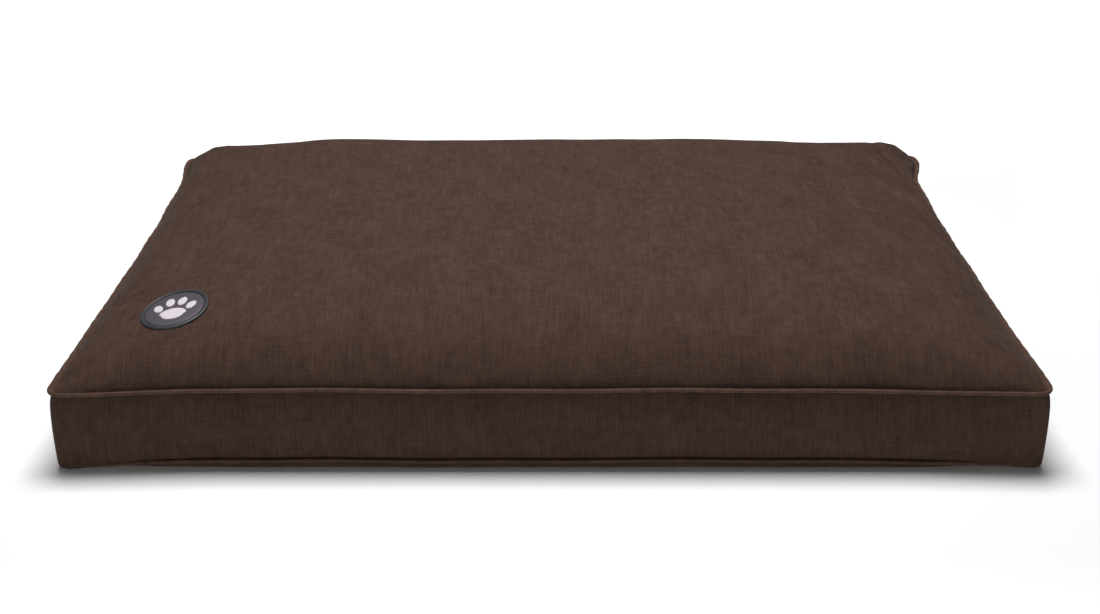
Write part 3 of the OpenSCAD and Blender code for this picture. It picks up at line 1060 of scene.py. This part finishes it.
badge_rim_w, badge_groove_w = 2.9 * MM, 1.7 * MM
badge_base_t, badge_field_t, badge_rim_t = 1.2 * MM, 0.5 * MM, 1.2 * MM
field_r = badge_r - badge_rim_w - badge_groove_w


def on_badge(x, y, height):
    """A point at a place measured from the badge's middle, above the cloth."""
    x, y = np.broadcast_arrays(x + badge_at[0], y + badge_at[1])
    return np.stack([x, y, fit_terms(x, y) @ badge_fit + height], axis=-1)


def capped(rings, steps, first=0):
    """Faces over a stack of closed rings, from the lowest up, with a pole at each end. The
    two poles are numbered after the rings' own points, the lower one first."""
    index = joined(first + np.arange(rings * steps).reshape(rings, steps))
    under_pole, over_pole = first + rings * steps, first + rings * steps + 1
    below, above = index[0].tolist(), index[-1].tolist()
    faces = quads(index)
    faces += [(under_pole, b, a) for a, b in zip(below[:-1], below[1:])]
    faces += [(over_pole, a, b) for a, b in zip(above[:-1], above[1:])]
    return faces


def turned(name, profile, material):
    """A round piece of the badge. profile is (radius, height) from its axis, underneath,
    round the outside and back to the axis on top."""
    steps = 96
    angle = np.linspace(0, 2 * math.pi, steps, endpoint=False)
    rings = [on_badge(r * np.cos(angle), r * np.sin(angle), h) for r, h in profile[1:-1]]
    poles = [on_badge(0.0, 0.0, profile[end][1])[None] for end in (0, -1)]
    points = np.concatenate(rings + poles)
    piece = new_piece(name, new_mesh(name, points, capped(len(rings), steps)))
    piece.data.materials.append(material)
    piece.data.set_sharp_from_angle(angle=math.radians(50))
    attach(piece, "cushion")
    return piece


def rubber(name, colour, grain, gloss, speck=0.0):
    """Moulded rubber with a fine cast grain. grain is its depth in mm."""
    material, wire = new_material(name)
    place = wire.node("TexCoord", output="Object")
    clouds = mottle(place, 90.0, 3.0)
    fine = mottle(place, 1700.0)
    surface(wire, {"Base Color": toned(wire, colour, 1 + clouds * 0.07 + fine * speck),
                   "Normal": bump(wire, fine * grain + clouds * grain),
                   "Roughness": gloss + clouds * 0.05}, {"Specular IOR Level": 0.45})
    return material


base_top, field_top = badge_base_t, badge_base_t + badge_field_t
rim_top = badge_base_t + badge_rim_t
rim_in = badge_r - badge_rim_w
under_chamfer = 0.5 * MM
sunk = 0.2 * MM                         # how deep its underside lies in the cloth
badge_base = turned("badge_base", [
    (0, -sunk), (badge_r - under_chamfer, -sunk), (badge_r, 0.2 * MM), (badge_r, rim_top - 0.9 * MM),
    (badge_r - 0.25 * MM, rim_top - 0.35 * MM), (badge_r - 0.8 * MM, rim_top - 0.04 * MM),
    (badge_r - 1.5 * MM, rim_top), (rim_in + 1.0 * MM, rim_top - 0.03 * MM),
    (rim_in + 0.35 * MM, rim_top - 0.25 * MM), (rim_in + 0.05 * MM, rim_top - 0.75 * MM),
    (rim_in, base_top), (field_r - 0.5 * MM, base_top), (0, base_top)],
    rubber("slate_rubber", (0.046, 0.050, 0.056), 0.02, 0.42))
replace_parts(badge_base, "badge_patch")
badge_field = turned("badge_plum_field", [
    (0, base_top - 0.1 * MM), (field_r, base_top - 0.1 * MM), (field_r, field_top - 0.35 * MM),
    (field_r - 0.15 * MM, field_top - 0.1 * MM), (field_r - 0.5 * MM, field_top),
    (field_r * 0.7, field_top), (field_r * 0.35, field_top), (0, field_top)],
    rubber("plum_rubber", (0.078, 0.067, 0.084), 0.03, 0.46, 0.06))
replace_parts(badge_field, "badge_field")

# The paw print: each pad as its middle, half width, half height and lean, in mm and degrees
PADS = [(0, -9.6, 13.4, 8.8, 0), (-15.4, 1.6, 4.2, 6.4, 24), (-5.7, 9.9, 4.3, 6.9, 7),
        (5.7, 9.9, 4.3, 6.9, -7), (15.4, 1.6, 4.2, 6.4, -24)]
pad_t = 0.9 * MM


def pad_outline(number, angle):
    """Radius of a pad at an angle, as a share of its half sizes. The big pad is pinched in at
    both sides below its middle, and the toes are ovals, a little fuller at the top."""
    if number:
        return 1 + 0.05 * np.sin(angle)
    pinch = 0.12 * np.cos(2 * (angle + math.pi / 2)) * (np.sin(angle) < 0)
    return 0.94 + pinch + 0.06 * np.sin(angle)


pad_points, pad_faces = [], []
pad_steps = 40
pad_angle = np.linspace(0, 2 * math.pi, pad_steps, endpoint=False)
pad_profile = [(1.0, -0.1 * MM), (1.0, pad_t * 0.55), (0.96, pad_t * 0.85), (0.88, pad_t),
               (0.55, pad_t * 1.05)]    # share of the outline, and height above the field
for number, (pad_x, pad_y, half_w, half_h, lean) in enumerate(PADS):
    turn = math.radians(lean)
    reach = pad_outline(number, pad_angle)
    pad_faces += capped(len(pad_profile), pad_steps, len(pad_points))
    for share, height in pad_profile:
        u = half_w * reach * share * np.cos(pad_angle)
        v = half_h * reach * share * np.sin(pad_angle)
        x, y = u * math.cos(turn) - v * math.sin(turn), u * math.sin(turn) + v * math.cos(turn)
        pad_points += on_badge((pad_x + x) * MM, (pad_y + y) * MM, field_top + height).tolist()
    for height in (-0.1 * MM, pad_t * 1.07):
        pad_points += on_badge(pad_x * MM, pad_y * MM, field_top + height)[None].tolist()
paw_print = new_piece("badge_paw_print", new_mesh("badge_paw_print", pad_points, pad_faces))
paw_print.data.materials.append(rubber("off_white_rubber", (0.68, 0.61, 0.65), 0.02, 0.5))
paw_print.data.set_sharp_from_angle(angle=math.radians(60))
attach(paw_print, "cushion")
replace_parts(paw_print, "badge_paw")

stitch_r = badge_r - badge_rim_w - badge_groove_w / 2
stitch_count = 48
stitch_angle = np.linspace(0, 2 * math.pi, 3 * stitch_count + 1)
stitch_ring = on_badge(stitch_r * np.cos(stitch_angle), stitch_r * np.sin(stitch_angle),
                       base_top + 0.1 * MM)
# The stitches are real, but their thread is near black so that they read as the groove's dark line:
# painted shade in the groove.
badge_thread = sewn("badge_thread", [stitch_ring], 2 * math.pi * stitch_r / stitch_count,
                    2.7 * MM, 0.6 * MM, thread("groove_shade_thread", (0.016, 0.016, 0.019)))
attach(badge_thread, "cushion")
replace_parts(badge_thread, "badge_stitches")


# ---- Care label ----
# A short white satin tape, sewn into the top seam at the back, beside the zip. It hangs
# against the band and curls away a little at its free end.

label_low, label_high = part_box("care_label")
label_across = 9                # columns of points
label_x = np.linspace(label_high.x, label_low.x, label_across)
label_columns = band_at(np.interp(label_x, back_x[::-1], back_k[::-1]))
label_drop = np.linspace(0, label_high.z - label_low.z, 13)
label_points = []
for drop in label_drop[::-1]:
    share = drop / label_drop[-1]
    z = label_high.z - drop
    label_points.append([[np.interp(z, column[:, 2], column[:, axis]) for axis in (0, 1)] + [z]
                         for column in label_columns.transpose(1, 0, 2)])
    bow = 0.25 * MM * np.cos(np.linspace(-2, 2, label_across)) * share
    lift = 0.55 * MM + 1.6 * MM * share ** 3 + bow
    label_points[-1] = np.array(label_points[-1]) + np.stack([0 * lift, lift, 0 * lift], axis=1)
label_points = np.array(label_points)


def satin():
    """White polyester satin: long floats give fine lines along the tape."""
    material, wire = new_material("label_satin")
    place = wire.node("UVMap", {"uv_map": "cloth"})
    floats = noise(place, (2600, 120), 2.0)
    clouds = noise(place, (90, 60), 2.0)
    surface(wire, {"Base Color": toned(wire, (0.80, 0.79, 0.76), 1 + floats * 0.05 + clouds * 0.03),
                   "Normal": bump(wire, floats * 0.02), "Roughness": 0.42 + floats * 0.05},
            {"Specular IOR Level": 0.5, "Sheen Weight": 0.15})
    return material


care_label = lay_cloth("care_label_satin", label_points, column_uv(label_points), 0.35 * MM,
                       satin())
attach(care_label, "cushion")
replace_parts(care_label, "care_label")


# ---- Pad's liner ----
# The pad has a case of its own in thin non-woven cloth, so that it lifts out in one piece. A
# top and a base half meet in a seam round the middle of the sides.

cover_mesh = new_mesh("cover_shape", cover, top_faces + base_faces + band_faces)
cover_normals = np.array([v.normal for v in cover_mesh.vertices])
liner_gap = 3.4 * MM            # from the cover's face to the liner
inner = cover - cover_normals * liner_gap
half_row = band_rows // 2


def non_woven():
    """Pale non-woven cloth: pressed fibres with a grid of small welded dots."""
    material, wire = new_material("liner_non_woven")
    place = wire.node("TexCoord", output="Object")
    fibres = mottle(place, 620.0, 4.0)
    dots = wire.node("TexVoronoi", {}, {"Vector": place, "Scale": 420.0, "Randomness": 0.1})
    weld = dots.math("LESS_THAN", dots, 0.28)
    surface(wire, {"Base Color": toned(wire, (0.72, 0.71, 0.68), 1 + fibres * 0.08 - weld * 0.06),
                   "Normal": bump(wire, fibres * 0.05 - weld * 0.08),
                   "Roughness": 0.85 + fibres * 0.05}, {"Specular IOR Level": 0.2})
    return material


liner_cloth = non_woven()


def liner_half(node, faces, rows):
    """Half of the liner: one panel with the nearer half of the sides."""
    faces = faces + quads(joined(band_index)[rows])
    used = np.unique(np.ravel(faces))
    number = np.zeros(len(inner), int)
    number[used] = np.arange(len(used))
    half = new_piece(node + "_cloth",
                     new_mesh(node + "_cloth", inner[used], number[np.array(faces)].tolist()))
    half.data.materials.append(liner_cloth)
    made_thick(half, 0.4 * MM)
    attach(half, "cushion")
    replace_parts(half, node)


liner_half("liner_top", top_faces, slice(half_row, None))
liner_half("liner_base", base_faces, slice(0, half_row + 1))


# ---- Foam and wadding ----
# The pad is a block of polyurethane foam between two layers of loose polyester wadding. The
# upper layer gives the top its crown, and the lower one fills out the base.


def foam_cells():
    material, wire = new_material("pad_foam")
    place = wire.node("TexCoord", output="Object")
    cells = wire.node("TexVoronoi", {}, {"Vector": place, "Scale": 900.0})
    clouds = mottle(place, 14.0)
    surface(wire, {"Base Color": toned(wire, (0.79, 0.70, 0.46), 0.85 + cells * 0.3 + clouds * 0.05),
                   "Normal": bump(wire, cells * 0.3), "Roughness": 0.9 + clouds * 0.03},
            {"Specular IOR Level": 0.15})
    return material


def fibre_fill():
    material, wire = new_material("pad_wadding")
    place = wire.node("TexCoord", output="Object")
    tufts = mottle(place, 60.0, 6.0)
    fine = mottle(place, 900.0, 3.0)
    surface(wire, {"Base Color": toned(wire, (0.84, 0.83, 0.80), 1 + tufts * 0.06 + fine * 0.04),
                   "Normal": bump(wire, tufts * 0.8 + fine * 0.15), "Roughness": 0.93 + fine * 0.03},
            {"Specular IOR Level": 0.1})
    return material


# the layers follow every fifth line of the cover's own grid
every = 5
columns = np.append(np.arange(0, nx, every), nx)
lines = np.append(np.arange(0, ny, every), ny)
coarse = (lines[:, None] * (nx + 1) + columns).ravel()
cx, cy = len(columns) - 1, len(lines) - 1
coarse_index = np.arange(len(coarse)).reshape(cy + 1, cx + 1)
coarse_edge = np.concatenate([coarse_index[0], coarse_index[1:, -1], coarse_index[-1, -2::-1],
                              coarse_index[-2:0:-1, 0]])


def filling(name, node, low, high, material):
    """A closed layer of the pad between a lower and an upper grid of points."""
    middle = (low[coarse_edge] + high[coarse_edge]) / 2
    count, round_count = len(coarse), len(coarse_edge)
    rows = np.array([count + coarse_edge, 2 * count + np.arange(round_count), coarse_edge])
    faces = quads(coarse_index) + quads(count + coarse_index[::-1])
    faces += quads(joined(rows))
    piece = new_piece(name, new_mesh(name, np.concatenate([high, low, middle]), faces))
    piece.data.materials.append(material)
    made_finer(piece)
    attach(piece, "cushion")
    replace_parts(piece, node)


def level_grid(inset, z):
    """A level grid, drawn in from the sides as the cover is, and by an inset."""
    plan = np.stack(drawn_in(*rounded(grid_x[coarse], grid_y[coarse], corner_base), 0.95), axis=1)
    return np.column_stack([plan * (1 - inset / cover_half), np.full(len(coarse), z)])


foam_low, foam_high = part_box("foam_core")[0].z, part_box("foam_core")[1].z
wadding_fibre = fibre_fill()
filling("foam_block", "foam_core", level_grid(11 * MM, foam_low), level_grid(11 * MM, foam_high),
        foam_cells())
crown_points = (cover - cover_normals * 7 * MM)[:n_grid][coarse]
crown_points[:, :2] *= 1 - 4 * MM / cover_half
crown_points[:, 2] = np.maximum(crown_points[:, 2], foam_high + 1.5 * MM)
crown_foot = crown_points.copy()
crown_foot[:, 2] = foam_high + 0.3 * MM
filling("top_wadding_fill", "top_wadding", crown_foot, crown_points, wadding_fibre)
filling("base_wadding_fill", "base_wadding", level_grid(24 * MM, floor_z + 5 * MM),
        level_grid(24 * MM, foam_low - 0.3 * MM), wadding_fibre)


# ---- Floor and studio light ----
# A white floor that runs out of sight, lit from high above by one broad soft lamp and from
# in front by a weak one. Away from the bed the floor shows evenly white.

floor = new_piece("studio_floor", new_mesh("studio_floor", [
    (-7, -7, floor_z), (7, -7, floor_z), (7, 7, floor_z), (-7, 7, floor_z)], [(0, 1, 2, 3)]))
floor_material, floor_wire = new_material("studio_floor")
floor_place = floor_wire.node("SeparateXYZ", {}, {
    0: floor_wire.node("TexCoord", output="Object")})
floor_y = Wire(floor_wire.tree, floor_place.socket.node.outputs[1])
away = floor_place.math("MAXIMUM", floor_place.math("ABSOLUTE", floor_place) - float(bed_high[0]),
                        floor_y.math("ABSOLUTE", floor_y) - float(bed_high[1]))
glow_from, glow_full = 0.12, 0.65       # distances from the bed, in metres
glow = away.node("MapRange", {"interpolation_type": "SMOOTHSTEP"}, {
    0: away, 1: glow_from, 2: glow_full, 3: 0.0, 4: 1.0})
glow = glow * floor_wire.node("LightPath", output="Is Camera Ray")
surface(floor_wire, {"Emission Color": toned(floor_wire, (1, 1, 1), glow)}, {
    "Base Color": (0.96, 0.96, 0.96, 1), "Roughness": 1.0, "Specular IOR Level": 0.0,
    "Emission Strength": 1.0})
floor.data.materials.append(floor_material)

studio = bpy.data.worlds.new("studio")
bpy.context.scene.world = studio
studio.use_nodes = True
studio.node_tree.nodes.clear()
sky = Wire(studio.node_tree)
seen = sky.node("LightPath", output="Is Camera Ray")
sky_light = sky.node("Background", {}, {"Color": (1, 1, 1, 1), "Strength": 0.06 + seen * 0.96})
sky.node("OutputWorld", {}, {0: sky_light})


def lamp(name, place, aim, width, depth, power):
    light = bpy.data.lights.new(name, "AREA")
    light.shape = "RECTANGLE"
    light.size, light.size_y = width, depth
    light.energy = power
    lamp_object = bpy.data.objects.new(name, light)
    lamp_object.location = place
    way = Vector(aim) - Vector(place)
    lamp_object.rotation_euler = way.to_track_quat("-Z", "Y").to_euler()
    bpy.context.scene.collection.objects.link(lamp_object)


lamp("overhead", (-0.05, 0.22, floor_z + 2.4), (0, 0, 0), 1.3, 1.0, 66)
lamp("front_fill", (-0.4, -2.5, floor_z + 1.15), (0, 0, 0.06), 1.8, 0.6, 8)

bpy.context.scene.view_settings.view_transform = "Standard"
